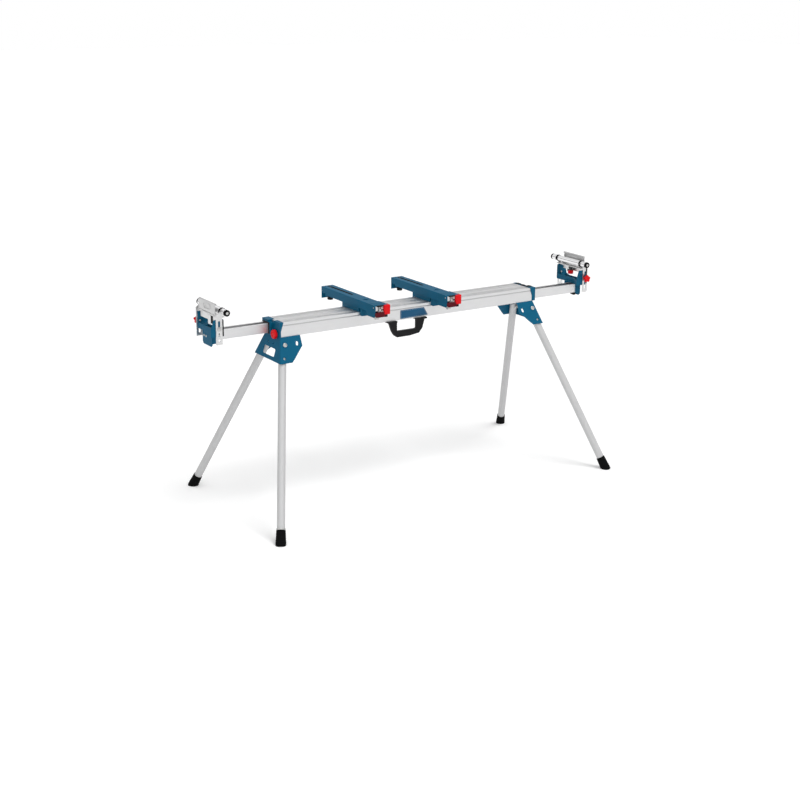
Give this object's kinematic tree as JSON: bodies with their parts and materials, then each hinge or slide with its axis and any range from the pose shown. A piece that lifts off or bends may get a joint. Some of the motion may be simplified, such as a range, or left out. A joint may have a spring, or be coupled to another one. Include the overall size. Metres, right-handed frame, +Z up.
{
  "type": "miter saw stand",
  "caption": "Folding saw stand: a twin-channel beam on splayed tube legs, with sliding saw mounts and extension arms that carry roller supports.",
  "frame": {"origin": "on the ground under the middle of the beam", "axes": "+X along the beam to the right as seen from the front, +Y to the back, +Z up"},
  "size_m": [1.877, 0.8186, 0.892],
  "materials": {
    "aluminium": "satin anodised",
    "blue_sheet": "powder coat",
    "blue_casting": "powder-coated casting",
    "leg_paint": "silver paint",
    "zinc_sheet": "zinc plated",
    "steel": "zinc plated",
    "chrome": "polished chrome",
    "black_plastic": "moulded",
    "red_plastic": "moulded",
    "rubber": "matt"
  },
  "bodies": {
    "stand": {"beam": "aluminium", "bracket_pins_and_bolts": "steel", "carry_handle": "black_plastic", "leg_bracket_left": "blue_sheet", "leg_bracket_right": "blue_sheet", "end_casting_left": "blue_casting", "end_casting_right": "blue_casting", "arm_bush_left": "black_plastic", "arm_bush_right": "black_plastic"},
    "leg_front_left": {"leg_tube_front_left": "leg_paint"},
    "button_front_left": {"leg_button_front_left": "steel"},
    "foot_front_left": {"leg_foot_front_left": "rubber", "leg_foot_stud": "steel"},
    "leg_rear_left": {"leg_tube_rear_left": "leg_paint", "leg_foot_rear_left": "rubber"},
    "button_rear_left": {"leg_button_rear_left": "steel"},
    "leg_front_right": {"leg_tube_front_right": "leg_paint", "leg_foot_front_right": "rubber"},
    "button_front_right": {"leg_button_front_right": "steel"},
    "leg_rear_right": {"leg_tube_rear_right": "leg_paint", "leg_foot_rear_right": "rubber"},
    "button_rear_right": {"leg_button_rear_right": "steel"},
    "arm_left": {"arm_left": "aluminium", "arm_glide_left": "black_plastic", "support_bracket_left": "blue_casting", "support_fasteners_left": "steel"},
    "carrier_left": {"support_carrier_left": "zinc_sheet"},
    "roller_left": {"support_roller_left": "chrome", "roller_axle_left": "steel", "roller_trim_left": "rubber"},
    "stop_left": {"stop_plate_left": "zinc_sheet"},
    "stop_knob_left": {"stop_knob_left": "red_plastic"},
    "height_knob_left": {"height_knob_left": "red_plastic"},
    "arm_knob_left": {"arm_knob_left": "red_plastic"},
    "mount_left": {"mount_rail_left": "blue_sheet", "mount_saddle_left": "blue_casting", "mount_housing_left": "blue_casting"},
    "jaw_left": {"mount_jaw_left": "blue_casting"},
    "lever_left": {"mount_lever_left": "red_plastic"},
    "saw_bolt_left": {"saw_bolt_washer_left": "steel"},
    "saw_knob_left": {"saw_bolt_knob_left": "black_plastic"},
    "arm_right": {"arm_right": "aluminium", "arm_glide_right": "black_plastic", "support_bracket_right": "blue_casting", "support_fasteners_right": "steel"},
    "carrier_right": {"support_carrier_right": "zinc_sheet"},
    "roller_right": {"support_roller_right": "chrome", "roller_axle_right": "steel", "roller_trim_right": "rubber"},
    "stop_right": {"stop_plate_right": "zinc_sheet"},
    "stop_knob_right": {"stop_knob_right": "red_plastic"},
    "height_knob_right": {"height_knob_right": "red_plastic"},
    "arm_knob_right": {"arm_knob_right": "red_plastic"},
    "mount_right": {"mount_rail_right": "blue_sheet", "mount_saddle_right": "blue_casting", "mount_housing_right": "blue_casting"},
    "jaw_right": {"mount_jaw_right": "blue_casting"},
    "lever_right": {"mount_lever_right": "red_plastic"},
    "saw_bolt_right": {"saw_bolt_washer_right": "steel"},
    "saw_knob_right": {"saw_bolt_knob_right": "black_plastic"}
  },
  "joints": [
    {"name": "leg_fold_front_left", "type": "hinge", "parent": "stand", "child": "leg_front_left", "pos_m": [-0.619, -0.0588, 0.683], "axis": [0.0403, -0.9046, 0.4243], "range_deg": [0, 105.8]},
    {"name": "lock_button_front_left", "type": "slide", "parent": "leg_front_left", "child": "button_front_left", "axis": [-0.0403, 0.9046, -0.4243], "range_m": [0, 0.005], "stiffness_N_per_m": 600, "springref_m": -0.003},
    {"name": "foot_adjust_front_left", "type": "slide", "parent": "leg_front_left", "child": "foot_front_left", "axis": [-0.2539, -0.42, -0.8713], "range_m": [0, 0.015]},
    {"name": "leg_fold_rear_left", "type": "hinge", "parent": "stand", "child": "leg_rear_left", "pos_m": [-0.619, 0.0588, 0.683], "axis": [-0.0403, -0.9046, -0.4243], "range_deg": [0, 105.8]},
    {"name": "lock_button_rear_left", "type": "slide", "parent": "leg_rear_left", "child": "button_rear_left", "axis": [-0.0403, -0.9046, -0.4243], "range_m": [0, 0.005], "stiffness_N_per_m": 600, "springref_m": -0.003},
    {"name": "leg_fold_front_right", "type": "hinge", "parent": "stand", "child": "leg_front_right", "pos_m": [0.619, -0.0588, 0.683], "axis": [0.081, 0.9069, -0.4135], "range_deg": [0, 100.72]},
    {"name": "lock_button_front_right", "type": "slide", "parent": "leg_front_right", "child": "button_front_right", "axis": [0.081, 0.9069, -0.4135], "range_m": [0, 0.005], "stiffness_N_per_m": 600, "springref_m": -0.003},
    {"name": "leg_fold_rear_right", "type": "hinge", "parent": "stand", "child": "leg_rear_right", "pos_m": [0.619, 0.0588, 0.683], "axis": [-0.081, 0.9069, 0.4135], "range_deg": [0, 100.72]},
    {"name": "lock_button_rear_right", "type": "slide", "parent": "leg_rear_right", "child": "button_rear_right", "axis": [0.081, -0.9069, -0.4135], "range_m": [0, 0.005], "stiffness_N_per_m": 600, "springref_m": -0.003},
    {"name": "arm_slide_left", "type": "slide", "parent": "stand", "child": "arm_left", "axis": [-1, 0, 0], "range_m": [-0.2, 0.8]},
    {"name": "support_height_left", "type": "slide", "parent": "arm_left", "child": "carrier_left", "axis": [0, 0, 1], "range_m": [-0.006, 0.044]},
    {"name": "roller_spin_left", "type": "hinge", "parent": "carrier_left", "child": "roller_left", "pos_m": [-0.886, 0, 0.862], "axis": [0, 1, 0], "continuous": true},
    {"name": "stop_flip_left", "type": "hinge", "parent": "carrier_left", "child": "stop_left", "pos_m": [-0.911, 0, 0.844], "axis": [0, -1, 0], "range_deg": [0, 178]},
    {"name": "stop_knob_turn_left", "type": "hinge", "parent": "carrier_left", "child": "stop_knob_left", "pos_m": [-0.893, 0, 0.81], "axis": [0, 0, 1], "range_deg": [0, 720]},
    {"name": "height_knob_turn_left", "type": "hinge", "parent": "arm_left", "child": "height_knob_left", "pos_m": [-0.9045, 0.1, 0.796], "axis": [0, -1, 0], "range_deg": [0, 720]},
    {"name": "arm_knob_turn_left", "type": "hinge", "parent": "stand", "child": "arm_knob_left", "pos_m": [-0.635, -0.02925, 0.729], "axis": [1, 0, 0], "range_deg": [0, 720]},
    {"name": "mount_slide_left", "type": "slide", "parent": "stand", "child": "mount_left", "axis": [1, 0, 0], "range_m": [-0.33, 0.13]},
    {"name": "clamp_lever_left", "type": "hinge", "parent": "mount_left", "child": "lever_left", "pos_m": [-0.2405, -0.177, 0.82], "axis": [-1, 0, 0], "range_deg": [0, 90]},
    {"name": "jaw_travel_left", "type": "slide", "parent": "mount_left", "child": "jaw_left", "axis": [0, -1, 0], "range_m": [0, 0.004]},
    {"name": "saw_bolt_slide_left", "type": "slide", "parent": "mount_left", "child": "saw_bolt_left", "axis": [0, 1, 0], "range_m": [-0.12, 0.008]},
    {"name": "saw_knob_turn_left", "type": "hinge", "parent": "saw_bolt_left", "child": "saw_knob_left", "pos_m": [-0.2405, 0.212, 0.78], "axis": [0, 0, 1], "range_deg": [0, 720]},
    {"name": "arm_slide_right", "type": "slide", "parent": "stand", "child": "arm_right", "axis": [1, 0, 0], "range_m": [-0.2, 0.8]},
    {"name": "support_height_right", "type": "slide", "parent": "arm_right", "child": "carrier_right", "axis": [0, 0, 1], "range_m": [-0.006, 0.044]},
    {"name": "roller_spin_right", "type": "hinge", "parent": "carrier_right", "child": "roller_right", "pos_m": [0.886, 0, 0.862], "axis": [0, 1, 0], "continuous": true},
    {"name": "stop_flip_right", "type": "hinge", "parent": "carrier_right", "child": "stop_right", "pos_m": [0.911, 0, 0.844], "axis": [0, 1, 0], "range_deg": [0, 178]},
    {"name": "stop_knob_turn_right", "type": "hinge", "parent": "carrier_right", "child": "stop_knob_right", "pos_m": [0.893, 0, 0.81], "axis": [0, 0, 1], "range_deg": [0, 720]},
    {"name": "height_knob_turn_right", "type": "hinge", "parent": "arm_right", "child": "height_knob_right", "pos_m": [0.9045, -0.1, 0.796], "axis": [0, 1, 0], "range_deg": [0, 720]},
    {"name": "arm_knob_turn_right", "type": "hinge", "parent": "stand", "child": "arm_knob_right", "pos_m": [0.635, 0.02925, 0.729], "axis": [-1, 0, 0], "range_deg": [0, 720]},
    {"name": "mount_slide_right", "type": "slide", "parent": "stand", "child": "mount_right", "axis": [1, 0, 0], "range_m": [-0.13, 0.33]},
    {"name": "clamp_lever_right", "type": "hinge", "parent": "mount_right", "child": "lever_right", "pos_m": [0.1085, -0.177, 0.82], "axis": [-1, 0, 0], "range_deg": [0, 90]},
    {"name": "jaw_travel_right", "type": "slide", "parent": "mount_right", "child": "jaw_right", "axis": [0, -1, 0], "range_m": [0, 0.004]},
    {"name": "saw_bolt_slide_right", "type": "slide", "parent": "mount_right", "child": "saw_bolt_right", "axis": [0, 1, 0], "range_m": [-0.12, 0.008]},
    {"name": "saw_knob_turn_right", "type": "hinge", "parent": "saw_bolt_right", "child": "saw_knob_right", "pos_m": [0.1085, 0.212, 0.78], "axis": [0, 0, 1], "range_deg": [0, 720]}
  ],
  "couplings": [
    {"joint": "jaw_travel_left", "follows": "clamp_lever_left", "m_per_rad": 0.0025},
    {"joint": "jaw_travel_right", "follows": "clamp_lever_right", "m_per_rad": 0.0025}
  ]
}
